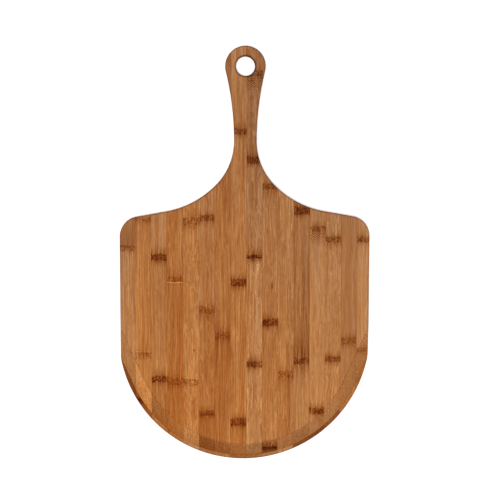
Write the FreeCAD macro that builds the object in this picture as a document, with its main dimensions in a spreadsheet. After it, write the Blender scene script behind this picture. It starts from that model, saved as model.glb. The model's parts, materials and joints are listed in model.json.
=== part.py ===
"""Bamboo pizza peel, glued up from two plies of lengthwise strips.

Millimetres. The peel lies flat: +Z is up, +Y runs towards the handle, and the origin is
under the middle of the peel, at the height of the surface that it lies on.
"""

import FreeCAD, Part
import math
import os
import Sketcher

# alias, value, meaning
DIMENSIONS = [
    ("overall_length", 508.0, "front edge of the blade to the end of the handle"),
    ("blade_width", 304.8, "across the straight sides"),
    ("blade_length", 298.5, "front edge to the point where the shoulder line meets the side"),
    ("ply_thickness", 4.7625, "one layer of strips"),
    ("nose_thickness", 3.175, "front edge below the bevel"),
    ("bevel_width", 21.0, "plan width of the bevel along the front"),
    ("bevel_sweep", 66.0, "half angle of the conical part of the bevel"),
    ("front_radius", 154.8, "front edge"),
    ("front_corner_radius", 40.0, "blend from the side into the front edge"),
    ("shoulder_corner_radius", 24.0, "outer corner of the shoulder"),
    ("shoulder_slope", 9.9, "angle of the straight stretch of the shoulder"),
    ("shoulder_radius", 114.0, "hollow between the straight stretch and the neck"),
    ("neck_radius", 76.0, "hollow under the neck"),
    ("neck_width", 27.1, "narrowest width of the handle"),
    ("neck_position", 114.0, "end of the handle to the narrowest place"),
    ("handle_end_radius", 24.35, "round end of the handle"),
    ("hole_radius", 11.7, "hanging hole"),
    ("edge_easing", 1.2, "eased edges, outside and round the hole"),
    ("strip_width", 19.4, "one bamboo strip"),
    ("joint_offset", 1.4, "middle joint, right of the centre line"),
    ("cutter_margin", 10.0, "how far helper solids stand out past the peel"),
]
STRIP_COUNT = 16
HANDLE_STRIPS = (8, 9)
SLIVER_STRIPS = {7: "left", 10: "right"}
SHEET = "Dimensions"
START, END, CENTRE = 1, 2, 3
Y_AXIS = -2

doc = FreeCAD.newDocument("PizzaPeel")


def make_sheet():
    """Put the driving dimensions in a spreadsheet and return them as a dictionary."""
    sheet = doc.addObject("Spreadsheet::Sheet", SHEET)
    for row, (alias, value, meaning) in enumerate(DIMENSIONS, start=1):
        sheet.set(f"A{row}", meaning)
        sheet.set(f"B{row}", str(value))
        sheet.setAlias(f"B{row}", alias)
    doc.recompute()
    return {alias: sheet.get(alias) for alias, _, _ in DIMENSIONS}


def sized(text):
    """Expand the aliases in an expression to full references to the sheet."""
    for alias, _, _ in DIMENSIONS:
        text = text.replace(alias, f"{SHEET}.{alias}")
    return text


def origin_plane(body, role):
    return next(f for f in body.Origin.OriginFeatures if f.Role == role)


def new_sketch(body, name, height=None):
    """Add a sketch on the body's XY plane, raised to an expression's height."""
    sketch = body.newObject("Sketcher::SketchObject", name)
    sketch.AttachmentSupport = (origin_plane(body, "XY_Plane"), [""])
    sketch.MapMode = "FlatFace"
    if height:
        sketch.setExpression("AttachmentOffset.Base.z", sized(height))
    return sketch


def add_arc(sketch, centre, radius, first, last):
    """Add an anticlockwise arc between two angles in radians and return its number."""
    circle = Part.Circle(FreeCAD.Vector(*centre, 0), FreeCAD.Vector(0, 0, 1), radius)
    return sketch.addGeometry(Part.ArcOfCircle(circle, first, last), False)


def add_line(sketch, first, last):
    segment = Part.LineSegment(FreeCAD.Vector(*first, 0), FreeCAD.Vector(*last, 0))
    return sketch.addGeometry(segment, False)


def bind(sketch, name, expression, kind, *place, value):
    """Add a dimension to a sketch and bind it to an expression."""
    index = sketch.addConstraint(Sketcher.Constraint(kind, *place, value))
    sketch.renameConstraint(index, name)
    sketch.setExpression(f"Constraints.{name}", sized(expression))


def join(sketch, first, last, kind="Tangent"):
    """Join two ends, given as (curve, end) pairs, smoothly or with a corner."""
    sketch.addConstraint(Sketcher.Constraint(kind, *first, *last))


def on_circle(centre, radius, angle):
    return centre[0] + radius * math.cos(angle), centre[1] + radius * math.sin(angle)


def outline_places(d):
    """Work out the centres and angles of the right half of the outline."""
    half_width = d["blade_width"] / 2
    half_neck = d["neck_width"] / 2
    end_y = d["overall_length"] / 2 - d["handle_end_radius"]
    neck_y = d["overall_length"] / 2 - d["neck_position"]
    drop = end_y - neck_y
    flank_radius = (drop**2 + half_neck**2 - d["handle_end_radius"] ** 2) / (
        2 * (d["handle_end_radius"] - half_neck)
    )
    slope = math.radians(d["shoulder_slope"])
    shoulder_y = d["blade_length"] - d["overall_length"] / 2
    neck_x = half_neck + d["neck_radius"]
    # The shoulder arc's centre stands one radius above the straight stretch and is the
    # difference of the two radii away from the neck arc's centre.
    away = (math.sin(slope), math.cos(slope))
    foot = neck_x * away[0] + neck_y * away[1]
    line = half_width * away[0] + shoulder_y * away[1]
    rise = line + d["shoulder_radius"] - foot
    along = math.sqrt((d["shoulder_radius"] - d["neck_radius"]) ** 2 - rise**2)
    shoulder = (
        neck_x + rise * away[0] + along * math.cos(slope),
        neck_y + rise * away[1] - along * math.sin(slope),
    )
    corner_x = half_width - d["shoulder_corner_radius"]
    corner_y = (line - d["shoulder_corner_radius"] - corner_x * away[0]) / away[1]
    front_y = d["front_radius"] - d["overall_length"] / 2
    blend_x = half_width - d["front_corner_radius"]
    reach = d["front_radius"] - d["front_corner_radius"]
    blend_y = front_y - math.sqrt(reach**2 - blend_x**2)
    return {
        "end": (0, end_y),
        "flank": (half_neck + flank_radius, neck_y),
        "flank_radius": flank_radius,
        "neck": (neck_x, neck_y),
        "shoulder": shoulder,
        "shoulder_y": shoulder_y,
        "corner": (corner_x, corner_y),
        "blend": (blend_x, blend_y),
        "front": (0, front_y),
        "slope": slope,
        "flank_angle": math.atan2(drop, half_neck + flank_radius),
        "neck_angle": math.atan2(neck_y - shoulder[1], neck_x - shoulder[0]),
        "blend_angle": math.atan2(front_y - blend_y, blend_x),
    }


def half_outline(sketch, d, places, side, end_arc, front_arc):
    """Draw one half of the outline, from the handle end to the front edge."""
    upper, lower = (START, END) if side > 0 else (END, START)
    suffix = "right" if side > 0 else "left"

    def arc(centre, radius, first, last):
        if side > 0:
            return add_arc(sketch, places[centre], radius, first, last)
        x, y = places[centre]
        return add_arc(sketch, (-x, y), radius, math.pi - last, math.pi - first)

    def line(first, last):
        return add_line(sketch, (side * first[0], first[1]), (side * last[0], last[1]))

    slope = places["slope"]
    half_width = d["blade_width"] / 2
    steep = 3 * math.pi / 2 - slope
    flat = math.pi / 2 - slope
    inner = on_circle(places["shoulder"], d["shoulder_radius"], steep)
    outer = on_circle(places["corner"], d["shoulder_corner_radius"], flat)
    neck_angle = places["neck_angle"] % (2 * math.pi)
    blend_angle = places["blend_angle"]

    flank = arc("flank", places["flank_radius"], math.pi - places["flank_angle"], math.pi)
    neck = arc("neck", d["neck_radius"], math.pi, neck_angle)
    hollow = arc("shoulder", d["shoulder_radius"], neck_angle, steep)
    straight = line(inner, outer)
    corner = arc("corner", d["shoulder_corner_radius"], 0, flat)
    edge = line((half_width, places["corner"][1]), (half_width, places["blend"][1]))
    blend = arc("blend", d["front_corner_radius"], -blend_angle, 0)

    join(sketch, (end_arc, upper), (flank, upper))
    join(sketch, (flank, lower), (neck, upper))
    join(sketch, (neck, lower), (hollow, upper))
    join(sketch, (hollow, lower), (straight, START))
    join(sketch, (straight, END), (corner, lower))
    join(sketch, (corner, upper), (edge, START))
    join(sketch, (edge, END), (blend, lower))
    join(sketch, (blend, upper), (front_arc, lower))

    sketch.addConstraint(Sketcher.Constraint("Vertical", edge))
    join(sketch, (flank, CENTRE), (flank, lower), "Horizontal")
    for name, curve in (
        ("neck_radius", neck),
        ("shoulder_radius", hollow),
        ("shoulder_corner_radius", corner),
        ("front_corner_radius", blend),
    ):
        bind(sketch, f"{name}_{suffix}", name, "Radius", curve, value=d[name])

    across = "" if side > 0 else "-"
    half_neck = side * d["neck_width"] / 2
    bind(sketch, f"side_{suffix}", f"{across}blade_width / 2", "DistanceX", edge, START,
         value=side * half_width)
    bind(sketch, f"neck_{suffix}", f"{across}neck_width / 2", "DistanceX", flank, lower,
         value=half_neck)
    turned = "-shoulder_slope" if side > 0 else "180 + shoulder_slope"
    bind(sketch, f"slope_{suffix}", turned, "Angle", straight,
         value=-slope if side > 0 else math.pi + slope)
    tip = Part.Point(FreeCAD.Vector(side * half_width, places["shoulder_y"], 0))
    point = sketch.addGeometry(tip, True)
    for curve in (straight, edge):
        sketch.addConstraint(Sketcher.Constraint("PointOnObject", point, START, curve))
    bind(sketch, f"blade_length_{suffix}", "blade_length - overall_length / 2", "DistanceY",
         point, START, value=places["shoulder_y"])
    depth = d["overall_length"] / 2 - d["neck_position"]
    bind(sketch, f"neck_position_{suffix}", "overall_length / 2 - neck_position", "DistanceY",
         flank, lower, value=depth)


def draw_outline(sketch, d):
    """Draw the whole outline: two mirrored halves between two arcs on the centre line."""
    places = outline_places(d)
    reach = places["flank_angle"]
    blend = places["blend_angle"]
    end_arc = add_arc(sketch, places["end"], d["handle_end_radius"], -reach, math.pi + reach)
    front_arc = add_arc(
        sketch, places["front"], d["front_radius"], math.pi + blend, 2 * math.pi - blend
    )
    for name, curve, height in (
        ("handle_end_radius", end_arc, "overall_length / 2 - handle_end_radius"),
        ("front_radius", front_arc, "front_radius - overall_length / 2"),
    ):
        centre_y = sketch.Geometry[curve].Center.y
        sketch.addConstraint(Sketcher.Constraint("PointOnObject", curve, CENTRE, Y_AXIS))
        bind(sketch, name, name, "Radius", curve, value=d[name])
        bind(sketch, f"{name}_centre", height, "DistanceY", curve, CENTRE, value=centre_y)
    for side in (1, -1):
        half_outline(sketch, d, places, side, end_arc, front_arc)


def make_outline_body(d):
    """Pad the outline to full thickness and drill the hanging hole."""
    body = doc.addObject("PartDesign::Body", "outline_body")
    outline = new_sketch(body, "outline")
    draw_outline(outline, d)
    slab = body.newObject("PartDesign::Pad", "slab")
    slab.Profile = outline
    slab.setExpression("Length", sized("2 * ply_thickness"))
    doc.recompute()

    bore = new_sketch(body, "bore")
    centre_y = d["overall_length"] / 2 - d["handle_end_radius"]
    circle = Part.Circle(
        FreeCAD.Vector(0, centre_y, 0), FreeCAD.Vector(0, 0, 1), d["hole_radius"]
    )
    ring = bore.addGeometry(circle, False)
    bore.addConstraint(Sketcher.Constraint("PointOnObject", ring, CENTRE, Y_AXIS))
    bind(bore, "hole_radius", "hole_radius", "Radius", ring, value=d["hole_radius"])
    bind(bore, "hole_height", "overall_length / 2 - handle_end_radius", "DistanceY",
         ring, CENTRE, value=centre_y)
    hole = body.newObject("PartDesign::Pocket", "hanging_hole")
    hole.Profile = bore
    hole.Type = "ThroughAll"
    hole.Reversed = True
    doc.recompute()
    return body


def draw_bevel_section(sketch, d, radius_text, radius):
    """Draw one level of the bevelled envelope: an arc, its two tangents and a far frame."""
    sweep = math.radians(d["bevel_sweep"])
    centre_y = d["front_radius"] - d["overall_length"] / 2
    far_x = d["blade_width"] / 2 + d["cutter_margin"]
    far_y = d["overall_length"] / 2 + d["cutter_margin"]
    tangent_x = radius * math.sin(sweep)
    tangent_y = centre_y - radius * math.cos(sweep)
    meet_y = tangent_y + (far_x - tangent_x) * math.tan(sweep)

    down = 3 * math.pi / 2
    arc = add_arc(sketch, (0, centre_y), radius, down - sweep, down + sweep)
    right = add_line(sketch, (tangent_x, tangent_y), (far_x, meet_y))
    right_side = add_line(sketch, (far_x, meet_y), (far_x, far_y))
    top = add_line(sketch, (far_x, far_y), (-far_x, far_y))
    left_side = add_line(sketch, (-far_x, far_y), (-far_x, meet_y))
    left = add_line(sketch, (-far_x, meet_y), (-tangent_x, tangent_y))

    join(sketch, (arc, END), (right, START))
    join(sketch, (arc, START), (left, END))
    for first, last in ((right, right_side), (right_side, top), (top, left_side), (left_side, left)):
        join(sketch, (first, END), (last, START), "Coincident")
    sketch.addConstraint(Sketcher.Constraint("Vertical", right_side))
    sketch.addConstraint(Sketcher.Constraint("Vertical", left_side))
    sketch.addConstraint(Sketcher.Constraint("Horizontal", top))
    sketch.addConstraint(Sketcher.Constraint("PointOnObject", arc, CENTRE, Y_AXIS))

    bind(sketch, "radius", radius_text, "Radius", arc, value=radius)
    bind(sketch, "centre", "front_radius - overall_length / 2", "DistanceY", arc, CENTRE,
         value=centre_y)
    bind(sketch, "right_tangent", "bevel_sweep", "Angle", right, value=sweep)
    bind(sketch, "left_tangent", "-bevel_sweep", "Angle", left, value=-sweep)
    bind(sketch, "right_frame", "blade_width / 2 + cutter_margin", "DistanceX",
         right_side, START, value=far_x)
    bind(sketch, "left_frame", "-(blade_width / 2 + cutter_margin)", "DistanceX",
         left_side, START, value=-far_x)
    bind(sketch, "top_frame", "overall_length / 2 + cutter_margin", "DistanceY",
         right_side, END, value=far_y)


def make_bevel_body(d):
    """Loft the envelope whose lower sides are the bevel and its two run-outs."""
    body = doc.addObject("PartDesign::Body", "bevel_body")
    thickness = 2 * d["ply_thickness"]
    spread = d["bevel_width"] / (thickness - d["nose_thickness"])
    lower = new_sketch(body, "bevel_bottom")
    low_text = (
        "front_radius + bevel_width * nose_thickness / (2 * ply_thickness - nose_thickness)"
    )
    low_radius = d["front_radius"] + spread * d["nose_thickness"]
    draw_bevel_section(lower, d, low_text, low_radius)
    upper = new_sketch(body, "bevel_top", height="2 * ply_thickness")
    high_radius = d["front_radius"] - d["bevel_width"]
    draw_bevel_section(upper, d, "front_radius - bevel_width", high_radius)
    loft = body.newObject("PartDesign::AdditiveLoft", "bevel_envelope")
    loft.Profile = lower
    loft.Sections = [upper]
    loft.Ruled = True
    doc.recompute()
    return body


def common(name, base, tool):
    """Intersect two objects."""
    result = doc.addObject("Part::Common", name)
    result.Base = base
    result.Tool = tool
    result.Refine = True
    return result


def is_wall(face):
    """Tell whether a face stands upright."""
    u_low, u_high, v_low, v_high = face.ParameterRange
    normal = face.normalAt((u_low + u_high) / 2, (v_low + v_high) / 2)
    return abs(normal.z) < 1e-6


def rim_edges(shape):
    """List the edges where an upright wall meets the bevel, the top or the bottom."""
    rims = []
    for number, edge in enumerate(shape.Edges, start=1):
        walls = [is_wall(face) for face in shape.ancestorsOfType(edge, Part.Face)]
        if any(walls) and not all(walls):
            rims.append(number)
    return rims


def make_blank(d):
    """Shape the whole peel as one piece, ready to be divided into strips."""
    bevelled = common("bevelled", make_outline_body(d), make_bevel_body(d))
    doc.recompute()
    blank = doc.addObject("Part::Chamfer", "blank")
    blank.Base = bevelled
    easing = d["edge_easing"]
    blank.Edges = [(edge, easing, easing) for edge in rim_edges(bevelled.Shape)]
    doc.recompute()
    return blank


def make_strip(name, blank, column, ply, low_y, high_y):
    """Cut one strip out of the blank: a column, a ply, and a range along the length."""
    bar = doc.addObject("Part::Box", f"{name}_bar")
    left_joint = column - 1 - STRIP_COUNT // 2
    bar.setExpression("Length", sized("strip_width"))
    bar.setExpression("Height", sized("ply_thickness"))
    bar.setExpression("Width", sized(f"({high_y}) - ({low_y})"))
    bar.setExpression("Placement.Base.x", sized(f"joint_offset + {left_joint} * strip_width"))
    bar.setExpression("Placement.Base.y", sized(low_y))
    bar.setExpression("Placement.Base.z", sized(f"{ply} * ply_thickness"))
    strip = common(name, blank, bar)
    strip.Label = name
    return strip


def make_strips(blank):
    """Divide the blank into two plies of strips, two of them running into the handle."""
    front = "-overall_length / 2"
    neck = "overall_length / 2 - neck_position"
    handle_end = "overall_length / 2"
    strips = []
    for ply, layer in enumerate(("bottom", "top")):
        for column in range(1, STRIP_COUNT + 1):
            reach = handle_end if column in HANDLE_STRIPS else neck
            name = f"{layer}_strip_{column:02d}"
            strips.append(make_strip(name, blank, column, ply, front, reach))
        for column, side in SLIVER_STRIPS.items():
            name = f"{layer}_handle_sliver_{side}"
            strips.append(make_strip(name, blank, column, ply, neck, handle_end))
    doc.recompute()
    return strips


def check(strips, blank):
    """Stop if anything failed, is invalid, is in pieces, or if material went missing."""
    for item in doc.Objects:
        if {"Invalid", "Error"} & set(item.State):
            raise RuntimeError(f"{item.Name} failed: {item.State}")
    for strip in strips:
        shape = strip.Shape
        if shape.isNull() or not shape.isValid() or len(shape.Solids) != 1:
            raise RuntimeError(f"{strip.Label} isn't one valid solid")
    total = sum(strip.Shape.Volume for strip in strips)
    if abs(total - blank.Shape.Volume) > 1e-4 * blank.Shape.Volume:
        raise RuntimeError(f"the strips hold {total}, the blank {blank.Shape.Volume}")
    print(f"{len(strips)} strips, {total / 1000:.1f} cubic centimetres")


def main():
    dimensions = make_sheet()
    blank = make_blank(dimensions)
    strips = make_strips(blank)
    check(strips, blank)
    os.makedirs("parts", exist_ok=True)
    for strip in strips:
        strip.Shape.exportStep(f"parts/{strip.Label}.step")


main()
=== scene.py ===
"""Pizza peel: the bamboo's look, a plain studio and the camera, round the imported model."""
import json
import math
from collections import namedtuple

import bpy
from mathutils import Matrix, Vector


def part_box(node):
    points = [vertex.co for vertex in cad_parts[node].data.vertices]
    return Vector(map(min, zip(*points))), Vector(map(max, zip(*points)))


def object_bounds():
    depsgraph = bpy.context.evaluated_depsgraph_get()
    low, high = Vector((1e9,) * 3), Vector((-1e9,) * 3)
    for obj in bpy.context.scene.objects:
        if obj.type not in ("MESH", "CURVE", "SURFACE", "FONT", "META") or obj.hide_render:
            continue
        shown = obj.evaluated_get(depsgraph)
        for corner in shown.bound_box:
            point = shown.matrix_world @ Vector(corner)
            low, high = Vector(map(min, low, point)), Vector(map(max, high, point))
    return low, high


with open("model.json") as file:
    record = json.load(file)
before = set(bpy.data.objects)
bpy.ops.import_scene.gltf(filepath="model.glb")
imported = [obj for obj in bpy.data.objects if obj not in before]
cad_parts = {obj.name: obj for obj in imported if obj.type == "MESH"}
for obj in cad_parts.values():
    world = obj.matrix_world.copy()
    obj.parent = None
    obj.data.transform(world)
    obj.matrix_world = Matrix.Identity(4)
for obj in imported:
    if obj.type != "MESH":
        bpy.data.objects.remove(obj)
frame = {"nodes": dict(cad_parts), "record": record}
CAD_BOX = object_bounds()

MM = 0.001
HOLE = next(mount for mount in frame["record"]["mounts"] if mount["name"] == "hanging_hole")

# ---------------------------------------------------------------- what each strip looks like

# The colour of bare, bleached bamboo, and what is left of it after one unit of stain and one of warmth.
# Stain is how brown the wood is, so it also draws the grain and the knuckles. Warmth turns it orange.
WOOD = (0.602, 0.378, 0.243)
STAIN = (0.368, 0.223, 0.116)
WARMTH = (1.0, 0.82, 0.55)

# How a knuckle, the cross-wall of the culm planed flush, can look. Sizes are in mm: the band's
# height, and how far the shading runs above and below it. Feather is how strong the chevrons under
# the band are, light is how much of the band is pale scar tissue, and brink is the strength of a
# pale line along the band, at its upper edge where side is 1 and at its lower edge where it is -1.
KNUCKLES = {
    "dark": dict(strength=1.00, height=7.8, above=13.0, below=9.0, feather=0.05),
    "deep": dict(strength=1.05, height=9.4, above=11.0, below=8.0, feather=0.05),
    "line": dict(strength=1.50, height=4.4, above=14.0, below=7.0, feather=0.40),
    "soft": dict(strength=0.85, height=6.6, above=10.0, below=15.0, feather=0.12, light=0.10),
    "smoky": dict(strength=0.98, height=8.8, above=48.0, below=14.0, feather=0.15, light=0.22),
    "medium": dict(strength=0.77, height=7.4, above=10.0, below=8.0, feather=0.05, light=0.12),
    "feathered": dict(strength=0.68, height=7.4, above=10.0, below=9.5, feather=0.60, light=0.12),
    "hooked": dict(strength=0.53, height=9.4, above=12.0, below=8.0, feather=0.12, light=0.28),
    "faint": dict(strength=0.42, height=6.2, above=7.0, below=6.0, feather=0.05, light=0.12),
    "greyed": dict(strength=0.56, height=7.0, above=38.0, below=6.0, feather=0.05, light=0.12),
    "pale": dict(strength=0.42, height=9.0, above=5.0, below=4.0, light=0.34, brink=0.32, side=1.0),
    "scored": dict(strength=0.44, height=7.4, above=14.0, below=4.0, light=0.16, brink=0.60, side=-1.0),
}
KNUCKLE_SIZES = ["strength", "height", "above", "below", "feather", "light", "brink", "side"]

# The strips from the left edge to the right. Each has its warmth, the stain of its top length, how
# much more stain its core has than its face, how strongly the grain flames, how strong its streaks
# are, and its knuckles: the height along the peel in mm, measured from the middle, the kind, and the
# stain of the length below.
Strip = namedtuple("Strip", "warmth stain core flame contrast knuckles")
TOP_STRIPS = [
    (0.10, 0.30, 0.00, 0.3, 1.00, [(10, "greyed", 0.10)]),
    (0.75, 0.10, -0.25, 0.2, 1.00, [(45, "faint", 0.10), (-121, "pale", 0.05)]),
    (0.35, 0.10, 0.00, 0.3, 0.90, [(-1, "dark", 0.20), (-151, "dark", 0.35)]),
    (1.10, 0.20, -0.10, 0.4, 0.95, [(-28, "scored", 0.25), (-154, "hooked", 0.30)]),
    (0.75, 0.10, -0.10, 1.0, 1.05, [(43, "hooked", 0.10), (-155, "pale", 0.15)]),
    (0.50, 0.10, 0.30, 0.7, 0.95, [(47, "medium", 0.15), (-66, "hooked", 0.25), (-195, "medium", 0.40)]),
    (0.75, 0.20, 0.25, 0.2, 1.15, [(-98, "hooked", 0.30)]),
    (0.75, 0.15, 0.00, 0.3, 1.05, [(151, "medium", 0.10), (-32, "deep", 0.15), (-206, "deep", 0.30)]),
    (0.10, 0.30, 0.25, 1.0, 1.15,
     [(221, "feathered", 0.30), (117, "deep", 0.25), (-1, "line", 0.10), (-134, "dark", 0.10)]),
    (0.25, 0.20, 0.15, 0.8, 0.90, [(85, "soft", 0.20), (-82, "deep", 0.20), (-240, "line", 0.30)]),
    (0.35, 0.20, -0.05, 0.7, 1.10, [(-147, "hooked", 0.30)]),
    (0.05, 0.40, 0.20, 0.2, 1.10, [(56, "deep", 0.35), (-130, "smoky", 0.20)]),
    (0.05, 0.15, 0.05, 0.5, 0.75, [(33, "feathered", 0.10), (-193, "dark", 0.10)]),
    (0.10, 0.15, 0.00, 0.9, 0.95, [(20, "medium", 0.15), (-128, "medium", 0.10)]),
    (-0.05, 0.25, -0.10, 0.3, 0.55, [(-105, "hooked", 0.25)]),
    (-0.05, 0.05, 0.00, 0.5, 0.60, [(20, "medium", 0.05), (-117, "faint", 0.10)]),
]
BOTTOM_STRIPS = [
    (0.80, 0.80, 0.00, 0.3, 0.90, [(-60, "medium", 0.75)]),
    (1.00, 0.20, 0.00, 0.3, 0.90, [(25, "dark", 0.40), (-179, "dark", 0.35)]),
    (0.80, 0.25, 0.00, 0.4, 0.90, [(-30, "faint", 0.05)]),
    (1.10, 0.20, 0.00, 0.6, 0.90, [(-75, "medium", 0.10), (-216, "medium", 0.00)]),
    (0.15, 0.15, 0.00, 0.9, 0.90, [(10, "dark", -0.05)]),
    (0.30, 0.15, 0.00, 0.5, 0.90, [(50, "medium", 0.20), (-120, "dark", 0.20)]),
    (0.35, 0.25, 0.00, 0.3, 0.90, [(-10, "medium", 0.10)]),
    (0.35, 0.25, 0.00, 0.4, 0.90, [(180, "dark", 0.20), (5, "medium", 0.15), (-150, "feathered", 0.35)]),
    (0.00, 0.20, 0.00, 0.8, 0.90, [(90, "medium", 0.20), (-70, "dark", 0.30)]),
    (0.00, 0.15, 0.00, 0.6, 0.90, [(130, "dark", 0.25), (-20, "faint", 0.10), (-170, "medium", 0.10)]),
    (0.10, 0.20, 0.00, 0.7, 0.90, [(60, "dark", 0.15), (-100, "dark", 0.00)]),
    (0.30, 0.45, 0.00, 0.4, 0.90, [(-45, "smoky", 0.65)]),
    (0.35, 0.40, 0.00, 0.4, 0.90, [(15, "medium", 0.45), (-140, "dark", 0.75)]),
    (0.00, 0.30, 0.00, 0.5, 0.90, [(-85, "dark", 0.55)]),
    (0.40, 0.25, 0.00, 0.8, 0.90, [(30, "feathered", 0.20), (-110, "medium", 0.05)]),
    (0.40, 0.15, 0.00, 0.3, 0.90, [(-20, "dark", 0.20)]),
]

# The strips that the handle's head also cuts through, and what is left of them there.
SLIVERS = {7: "handle_sliver_left", 10: "handle_sliver_right"}

# Small dark flecks: the place across and along in mm, and half the fleck's width and length.
Fleck = namedtuple("Fleck", "across along half_width half_length")
FLECKS = {
    "top_strip_10": Fleck(32.7, -36.7, 1.4, 4.5),
    "top_strip_05": Fleck(-62.9, -115.9, 1.3, 1.5),
}

# Every strip has a seed of its own, which moves its noise by this many mm along each axis.
SEED_STEPS = (17.3, 71.9, 5.7)
BOTTOM_PLY_SEED = 40
KNUCKLE_SEED_STEP = 0.37

# The mean stain of the grain, which stays when the streaks are weaker or stronger.
MEAN_GRAIN = 0.29

# How far a knuckle sways and how ragged its edges are, for each mm of half its height, and the net
# of chevrons under it: its sizes in mm, and its slant in mm along for each mm across.
SWAY = 1.25
RAGGEDNESS = 1.5
CHEVRON_WOBBLE = 5.0
CHEVRON_HALF_WIDTH = 1.75
CHEVRON_SLANT = 1.2
CHEVRON_HALF_ROW = 1.35

# Handling has browned and greyed the wood, more and more from the blade's front to the handle's end.
HANDLED_FROM = -200.0
HANDLED_TO = 220.0
HANDLED_STAIN = 0.27
WARMTH_AT_FRONT = 1.12
GREYING = 0.77
GREYING_LATER = 0.72

# The bevel is sanded across the fibres: less streaky, stippled, and browner the lower it is cut.
SLOPE_STREAK_LOSS = 0.4
SLOPE_STIPPLE = 0.29
BEVEL_DEPTH = 6.35

# How much darker the walls and edges are, partly browner end grain and partly painted shade, most of all
# where they face the front or the handle's end.
RIM_GRAIN_AND_SHADE = 0.05
HANDLE_END_GRAIN_AND_SHADE = 0.5
FRONT_END_GRAIN_AND_SHADE = 0.65

# How much warmer the marks are, the wood's roughness, and the depth of its relief in metres.
MARK_WARMTH = 1.25
ROUGHNESS = 0.56
RELIEF_DEPTH = 0.25 * MM


# ---------------------------------------------------------------- building shader nodes

class Number:
    """A number that a shader node puts out, ready to be used in a formula."""

    def __init__(self, shader, socket):
        self.shader = shader
        self.socket = socket

    def __add__(self, other):
        return self.shader.math("ADD", self, other)

    def __radd__(self, other):
        return self.shader.math("ADD", other, self)

    def __sub__(self, other):
        return self.shader.math("SUBTRACT", self, other)

    def __rsub__(self, other):
        return self.shader.math("SUBTRACT", other, self)

    def __mul__(self, other):
        return self.shader.math("MULTIPLY", self, other)

    def __truediv__(self, other):
        return self.shader.math("DIVIDE", self, other)

    def __pow__(self, other):
        return self.shader.math("POWER", self, other)

    def __neg__(self):
        return self.shader.math("MULTIPLY", self, -1.0)

    def __abs__(self):
        return self.shader.math("ABSOLUTE", self)


class Shader:
    """Adds nodes to one node tree. A value may be a number, a tuple, a Number or a node's socket."""

    def __init__(self, tree):
        self.tree = tree

    def feed(self, socket, value):
        if isinstance(value, Number):
            value = value.socket
        if isinstance(value, bpy.types.NodeSocket):
            self.tree.links.new(value, socket)
        else:
            socket.default_value = value

    def node(self, kind, values=(), **settings):
        made = self.tree.nodes.new(kind)
        for name, value in settings.items():
            setattr(made, name, value)
        for name, value in dict(values).items():
            self.feed(made.inputs[name], value)
        return made

    def math(self, operation, first, second=0.0, clamp=False):
        made = self.node("ShaderNodeMath", operation=operation, use_clamp=clamp)
        self.feed(made.inputs[0], first)
        self.feed(made.inputs[1], second)
        return Number(self, made.outputs[0])

    def vector_math(self, operation, first, second):
        made = self.node("ShaderNodeVectorMath", operation=operation)
        self.feed(made.inputs[0], first)
        self.feed(made.inputs[1], second)
        return made.outputs

    def scaled(self, vector, factors):
        return self.vector_math("MULTIPLY", vector, factors)[0]

    def moved(self, vector, step):
        return self.vector_math("ADD", vector, step)[0]

    def joined(self, x=0.0, y=0.0, z=0.0):
        return self.node("ShaderNodeCombineXYZ", {"X": x, "Y": y, "Z": z}).outputs[0]

    def parts(self, vector):
        made = self.node("ShaderNodeSeparateXYZ", {"Vector": vector})
        return [Number(self, socket) for socket in made.outputs]

    def noise(self, place, across, along, detail=1.0, roughness=0.5, distortion=0.0):
        """Noise from 0 to 1, with so many grains in a mm across the fibres and along them."""
        values = {"Vector": self.scaled(place, (across, along, across)), "Scale": 1.0,
                  "Detail": detail, "Roughness": roughness, "Distortion": distortion}
        return Number(self, self.node("ShaderNodeTexNoise", values).outputs[0])

    def ramp(self, value, low, high, to_low=0.0, to_high=1.0, smooth=True):
        """The value's way from low to high, as to_low to to_high, held at both ends."""
        kind = "SMOOTHSTEP" if smooth else "LINEAR"
        values = {"Value": value, "From Min": low, "From Max": high, "To Min": to_low,
                  "To Max": to_high}
        return Number(self, self.node("ShaderNodeMapRange", values, interpolation_type=kind).outputs[0])

    def larger(self, first, second):
        return self.math("MAXIMUM", first, second)

    def times(self, first, second):
        """One colour multiplied by another."""
        made = self.node("ShaderNodeMix", data_type="RGBA", blend_type="MULTIPLY")
        self.feed(made.inputs[0], 1.0)
        self.feed(made.inputs[6], first)
        self.feed(made.inputs[7], second)
        return made.outputs[2]


def new_group(name, inputs, outputs):
    """Start a shader group. Returns its Shader, its incoming Numbers and its outgoing sockets."""
    tree = bpy.data.node_groups.new(name, "ShaderNodeTree")
    for in_out, sockets in (("INPUT", inputs), ("OUTPUT", outputs)):
        for socket in sockets:
            tree.interface.new_socket(socket, in_out=in_out, socket_type="NodeSocketFloat")
    shader = Shader(tree)
    inlet = shader.node("NodeGroupInput").outputs
    outlet = shader.node("NodeGroupOutput").inputs
    return shader, {socket: Number(shader, inlet[socket]) for socket in inputs}, outlet


def use_group(shader, group, values):
    """Put a group into a tree and return the Numbers that come out of it."""
    made = shader.node("ShaderNodeGroup", node_tree=group)
    for name, value in values.items():
        shader.feed(made.inputs[name], value)
    return {socket.name: Number(shader, socket) for socket in made.outputs}


def place_in_mm(shader):
    """The place on the peel in mm."""
    return shader.scaled(shader.node("ShaderNodeTexCoord").outputs["Object"], (1 / MM,) * 3)


def shuffled(shader, place, seed):
    """The place moved by the seed, so that no two strips get the same noise."""
    return shader.moved(place, shader.joined(*[seed * step for step in SEED_STEPS]))


# ---------------------------------------------------------------- the grain

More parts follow.
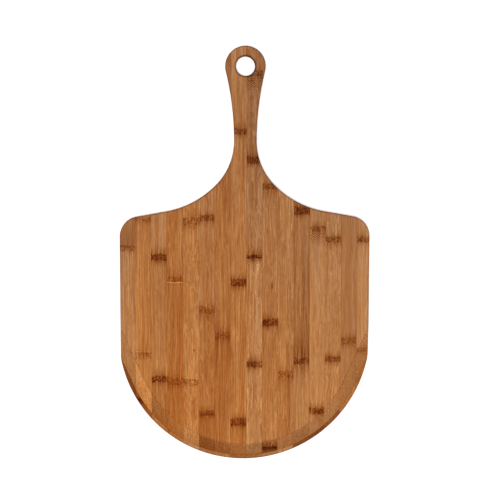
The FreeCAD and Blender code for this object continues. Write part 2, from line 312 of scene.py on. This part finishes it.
def grain_group():
    """Bamboo fibre: long streaks that drift and flame, and the stipple of a sanded slope."""
    outputs = ["stain", "warmth", "stipple"]
    shader, inlet, outlet = new_group("bamboo_grain", ["seed", "flame"], outputs)
    place = shuffled(shader, place_in_mm(shader), inlet["seed"])
    drift = (shader.noise(place, 0.03, 0.012) - 0.5) * 6.0
    lift = (shader.noise(place, 0.11, 0.022) - 0.5) * inlet["flame"] * 16.0
    warped = shader.moved(place, shader.joined(x=drift, z=lift))

    bands = shader.noise(warped, 0.28, 0.005)
    lines = shader.noise(warped, 0.68, 0.009, detail=3.0, roughness=0.65)
    hairs = shader.noise(warped, 1.5, 0.16)
    broad = shader.noise(place, 0.06, 0.006)
    stain = shader.ramp(bands, 0.25, 0.75, to_low=0.13, to_high=-0.03, smooth=False)
    stain += shader.ramp(lines, 0.30, 0.70, to_low=0.42, to_high=-0.20, smooth=False)
    stain += shader.ramp(hairs, 0.25, 0.75, to_low=0.13, to_high=-0.11, smooth=False)
    stain += shader.ramp(broad, 0.30, 0.70, to_low=0.0, to_high=0.11)
    cell_places = shader.scaled(warped, (1.0, 0.02, 1.0))
    cells = shader.node("ShaderNodeTexVoronoi", {"Vector": cell_places, "Scale": 1.0})
    stain += shader.ramp(cells.outputs["Distance"], 0.34, 0.16, to_low=0.0, to_high=0.12)
    shader.feed(outlet["stain"], stain)

    greying = shader.noise(warped, 0.20, 0.006, detail=2.0)
    warmth = shader.ramp(greying, 0.30, 0.70, to_low=-0.40, to_high=0.40, smooth=False)
    shader.feed(outlet["warmth"], warmth)

    stipple = shader.noise(place, 0.80, 0.80, detail=2.0, roughness=0.7)
    shader.feed(outlet["stipple"], shader.ramp(stipple, 0.44, 0.60))
    return shader.tree


# ---------------------------------------------------------------- the knuckles

def squiggles(shader, place, past):
    """The band itself, full of dark squiggles. Past is how far outside its edge a point is."""
    squiggle = shader.noise(place, 0.50, 0.36, detail=2.0, roughness=0.55, distortion=1.6)
    return shader.ramp(past, 0.7, -0.7) * shader.ramp(squiggle, 0.40, 0.60, 0.22, 1.48)


def brushed_shading(shader, place, reach):
    """The shading round the band, drawn out along the fibres. It ends where reach is 1."""
    brush = shader.ramp(shader.noise(place, 0.6, 0.04, detail=2.0), 0.36, 0.62, 0.15, 1.0)
    fall = shader.ramp(reach, 1.0, -0.2, smooth=False) ** 1.8
    return fall * (brush * 0.75)


def chevrons(shader, place, across, along):
    """A net of small chevrons, dark on their lines and a little pale between them."""
    wobble = (shader.noise(place, 0.30, 0.16) - 0.5) * CHEVRON_WOBBLE
    zigzag = shader.math("PINGPONG", across + wobble, CHEVRON_HALF_WIDTH)
    rows = along + zigzag * CHEVRON_SLANT + wobble
    return shader.ramp(shader.math("PINGPONG", rows, CHEVRON_HALF_ROW), 1.0, 0.35, -0.15, 1.0)


def scar_tissue(shader, place, past):
    """Pale patches in the band and just outside it."""
    patches = shader.noise(place, 0.60, 0.34, distortion=1.2)
    return shader.ramp(patches, 0.46, 0.66) * shader.ramp(past, 1.6, -0.2)


def brink_line(shader, place, from_brink):
    """A pale line along one edge of the band, with gaps."""
    gaps = shader.ramp(shader.noise(place, 0.22, 0.1), 0.32, 0.44)
    return shader.ramp(abs(from_brink), 1.1, 0.3) * gaps


def knuckle_group():
    """One knuckle: the stain of its band and all round it, and where the length below it starts."""
    inputs = ["seed", "place"] + KNUCKLE_SIZES
    shader, size, outlet = new_group("bamboo_knuckle", inputs, ["stain", "below"])
    plain = place_in_mm(shader)
    place = shuffled(shader, plain, size["seed"])
    across, along, _ = shader.parts(plain)
    half = size["height"] * 0.5
    sway = (shader.noise(place, 0.13, 0.0) - 0.5) * (half * SWAY)
    rag = (shader.noise(place, 0.7, 0.08, detail=2.0) - 0.5) * (half * RAGGEDNESS)
    offset = along - size["place"] + sway
    past = abs(offset) - (half + rag)
    over = offset - half
    under = -offset - half
    lower = under / size["below"]

    shading = brushed_shading(shader, place, shader.larger(over / size["above"], lower))
    dark = shader.larger(squiggles(shader, place, past), shading) * size["strength"]
    fade = shader.ramp(under, 0.0, 1.5) * shader.ramp(lower, 2.2, 0.5)
    feather = chevrons(shader, place, across, along) * fade * size["feather"]
    scar = scar_tissue(shader, place, past) * size["light"]
    brink = brink_line(shader, place, offset - half * size["side"]) * size["brink"]
    shader.feed(outlet["stain"], dark + feather - shader.larger(scar, brink))
    shader.feed(outlet["below"], shader.ramp(offset, 1.5, -1.5))
    return shader.tree


def knuckle_marks(shader, seed, strip, group):
    """The stain of a strip's knuckles, and the step in stain from each length to the next."""
    marks = 0.0
    above = strip.stain
    for index, (place, kind, below) in enumerate(strip.knuckles, 1):
        values = dict(KNUCKLES[kind], seed=seed + KNUCKLE_SEED_STEP * index, place=float(place))
        knuckle = use_group(shader, group, values)
        marks = marks + (knuckle["stain"] + knuckle["below"] * (below - above))
        above = below
    return marks


# ---------------------------------------------------------------- the bamboo material

class Spot:
    """Where a point of a strip lies and how its surface is turned, in mm and as shader Numbers."""

    def __init__(self, shader, outer_face):
        self.across, self.along, self.height = shader.parts(place_in_mm(shader))
        normal = shader.node("ShaderNodeNewGeometry").outputs["True Normal"]
        _, self.to_handle, rise = shader.parts(normal)
        flatness = abs(rise)
        self.sloped = shader.ramp(flatness, 0.90, 0.93) * shader.ramp(flatness, 0.995, 0.985)
        self.rim = shader.ramp(flatness, 0.90, 0.86)
        self.depth = abs(self.height - outer_face / MM)
        self.handled = shader.ramp(self.along, HANDLED_FROM, HANDLED_TO, smooth=False)


def fleck_stain(shader, spot, fleck):
    """The stain of one small oval fleck with a soft edge."""
    x = (spot.across - fleck.across) / fleck.half_width
    y = (spot.along - fleck.along) / fleck.half_length
    return shader.ramp(x * x + y * y, 1.6, 0.1, to_low=0.0, to_high=0.55)


def slope_stain(shader, spot, stipple):
    """The bevel's stain: stippled, most of all at its upper edge, and browner lower down."""
    arris = shader.ramp(spot.depth, 0.40, 0.05, to_low=1.0, to_high=2.8)
    below_top = CAD_BOX[1].z / MM - spot.height
    browner = shader.ramp(below_top, 0.0, BEVEL_DEPTH, to_low=0.05, to_high=0.23, smooth=False)
    return spot.sloped * (stipple * arris + browner)


def rim_grain_and_shade(shader, spot):
    """The upright walls and edges are darker, partly browner end grain and partly painted shade, most at
    the front and at the handle's end.
    """
    # Painted shade on the walls and edges, together with their browner end grain.
    at_handle_end = spot.to_handle * spot.handled * HANDLE_END_GRAIN_AND_SHADE
    at_front = spot.to_handle * -FRONT_END_GRAIN_AND_SHADE
    return spot.rim * (shader.larger(at_handle_end, at_front) + RIM_GRAIN_AND_SHADE)


def hole_ring_wear_and_shade(shader, spot):
    """A brown ring round the hanging hole, partly wear and partly painted shade on the hole's edge."""
    centre = [place / MM for place in HOLE["pos_m"][:2]] + [0.0]
    distance = shader.vector_math("DISTANCE", shader.joined(spot.across, spot.along), centre)["Value"]
    radius = HOLE["dims"]["r_mm"]
    return shader.ramp(distance, radius + 3.0, radius + 0.5, to_low=0.0, to_high=0.45)


def joint_stain(shader, spot, box, outer_face):
    """Dark glue lines: between this strip and its neighbours, and between the two plies."""
    low, high = box
    left = abs(spot.across - low.x / MM)
    right = abs(spot.across - high.x / MM)
    side = shader.math("MINIMUM", left, right)
    inner_face = low.z + high.z - outer_face
    ply = abs(spot.height - inner_face / MM)
    between_strips = shader.ramp(side, 0.25, 0.05, to_low=0.0, to_high=0.4)
    return between_strips + shader.ramp(ply, 0.20, 0.05, to_low=0.0, to_high=0.2)


def wood_warmth(shader, spot, strip, grain, marks):
    """Less warm towards the handle, a little greyer on the bevel, paler and greyer as painted light
    where the bevel faces the front, and warmer in the marks.
    """
    fall = spot.handled * (spot.handled * GREYING_LATER + GREYING)
    # Painted light: the bevel is made paler and greyer where it faces the front.
    bevel_grey_and_front_light = shader.ramp(spot.to_handle, -0.13, -0.28, to_low=0.08, to_high=0.65, smooth=False)
    warmth = strip.warmth + WARMTH_AT_FRONT - fall + grain["warmth"] - spot.sloped * bevel_grey_and_front_light
    return warmth + shader.larger(marks, 0.0) * MARK_WARMTH


def stained(shader, stain, warmth):
    """Bamboo colour, from how much stain and warmth it has."""
    browned = shader.node("ShaderNodeGamma", {"Color": (*STAIN, 1.0), "Gamma": stain}).outputs[0]
    warmed = shader.node("ShaderNodeGamma", {"Color": (*WARMTH, 1.0), "Gamma": warmth}).outputs[0]
    return shader.times(shader.times(browned, warmed), (*WOOD, 1.0))


def bamboo(node, seed, strip, groups):
    """Oiled bamboo for one strip, with its own tone, grain and knuckles."""
    material = bpy.data.materials.new(f"bamboo_{node}")
    material.use_nodes = True
    material.node_tree.nodes.clear()
    shader = Shader(material.node_tree)
    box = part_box(node)
    outer_face = box[1].z if node.startswith("top") else box[0].z
    spot = Spot(shader, outer_face)
    grain = use_group(shader, groups["grain"], {"seed": float(seed), "flame": strip.flame})
    marks = knuckle_marks(shader, seed, strip, groups["knuckle"])
    if node in FLECKS:
        marks = marks + fleck_stain(shader, spot, FLECKS[node])

    stipple = grain["stipple"] * SLOPE_STIPPLE
    streaks = grain["stain"] * (1.0 - spot.sloped * SLOPE_STREAK_LOSS) * strip.contrast
    total = marks + (streaks + (strip.stain + (1.0 - strip.contrast) * MEAN_GRAIN))
    total += shader.ramp(spot.depth, 0.05, 0.7) * strip.core
    total += slope_stain(shader, spot, stipple)
    # painted shade on the walls and edges, with their end grain
    total += rim_grain_and_shade(shader, spot)
    # painted shade round the hole's edge, with a worn ring
    total += hole_ring_wear_and_shade(shader, spot)
    total += joint_stain(shader, spot, box, outer_face)
    total += spot.handled * HANDLED_STAIN
    warmth = wood_warmth(shader, spot, strip, grain, marks)
    colour = stained(shader, shader.larger(total, 0.0), shader.larger(warmth, 0.0))

    rough = shader.math("ADD", grain["stain"] * 0.15 + ROUGHNESS, marks * 0.10, clamp=True)
    relief = spot.sloped * stipple * 1.2 - (grain["stain"] + marks * 0.25)
    bump = shader.node("ShaderNodeBump", {"Strength": 0.25, "Distance": RELIEF_DEPTH, "Height": relief})
    surface = shader.node("ShaderNodeBsdfPrincipled")
    shader.feed(surface.inputs["Base Color"], colour)
    shader.feed(surface.inputs["Roughness"], rough)
    shader.feed(surface.inputs["Normal"], bump.outputs[0])
    surface.inputs["Specular IOR Level"].default_value = 0.04
    output = shader.node("ShaderNodeOutputMaterial")
    shader.feed(output.inputs["Surface"], surface.outputs[0])
    return material


def finish_strips():
    """Give every strip of both plies its own bamboo; a sliver shares the strip it is cut from."""
    groups = {"grain": grain_group(), "knuckle": knuckle_group()}
    for ply, rows, first_seed in (("top", TOP_STRIPS, 0), ("bottom", BOTTOM_STRIPS, BOTTOM_PLY_SEED)):
        for number, row in enumerate(rows, 1):
            node = f"{ply}_strip_{number:02d}"
            material = bamboo(node, first_seed + number, Strip(*row), groups)
            names = [node]
            if number in SLIVERS:
                names.append(f"{ply}_{SLIVERS[number]}")
            for name in names:
                piece = frame["nodes"][name]
                piece.data.materials.clear()
                piece.data.materials.append(material)


# ---------------------------------------------------------------- studio and camera

FLOOR_SIZE = 200.0
FLOOR_GAP = 0.2 * MM


def make_floor():
    """A plain white floor, which the peel lies on."""
    height = CAD_BOX[0].z - FLOOR_GAP
    bpy.ops.mesh.primitive_plane_add(size=FLOOR_SIZE, location=(0.0, 0.0, height))
    floor = bpy.context.object
    floor.name = "floor"
    material = bpy.data.materials.new("white_floor")
    material.use_nodes = True
    surface = material.node_tree.nodes["Principled BSDF"]
    surface.inputs["Base Color"].default_value = (0.93, 0.93, 0.93, 1.0)
    surface.inputs["Roughness"].default_value = 0.9
    surface.inputs["Specular IOR Level"].default_value = 0.0
    surface.inputs["Emission Color"].default_value = (1.0, 1.0, 1.0, 1.0)
    surface.inputs["Emission Strength"].default_value = 0.15
    floor.data.materials.append(material)


def make_lights():
    """Soft light from above and a pale surround."""
    world = bpy.data.worlds.new("studio")
    world.use_nodes = True
    background = world.node_tree.nodes["Background"]
    background.inputs["Color"].default_value = (1.0, 1.0, 1.0, 1.0)
    background.inputs["Strength"].default_value = 0.45
    bpy.context.scene.world = world
    data = bpy.data.lights.new("overhead", "SUN")
    data.energy = 2.3
    data.angle = math.radians(18)
    lamp = bpy.data.objects.new("overhead", data)
    lamp.rotation_euler = (math.radians(4), math.radians(-6), 0.0)
    bpy.context.scene.collection.objects.link(lamp)


def make_camera():
    """A camera 1.5 m above the peel, a few degrees off its axis, with a long lens."""
    distance = 1.5
    view_width = 0.6138
    aim_x, aim_y = 0.0062, 0.0066
    pitch, yaw, roll = (math.radians(angle) for angle in (5.54, 3.09, -0.09))
    turn = Matrix.Rotation(pitch, 3, "X") @ Matrix.Rotation(yaw, 3, "Y") @ Matrix.Rotation(roll, 3, "Z")
    data = bpy.data.cameras.new("camera")
    data.sensor_width = 36.0
    data.lens = data.sensor_width * distance / view_width
    camera = bpy.data.objects.new("camera", data)
    back = turn.transposed()
    place = back @ Vector((aim_x, aim_y, distance))
    camera.matrix_world = Matrix.Translation(place) @ back.to_4x4()
    bpy.context.scene.collection.objects.link(camera)
    bpy.context.scene.camera = camera


bpy.context.scene.view_settings.view_transform = "Standard"
finish_strips()
make_floor()
make_lights()
make_camera()
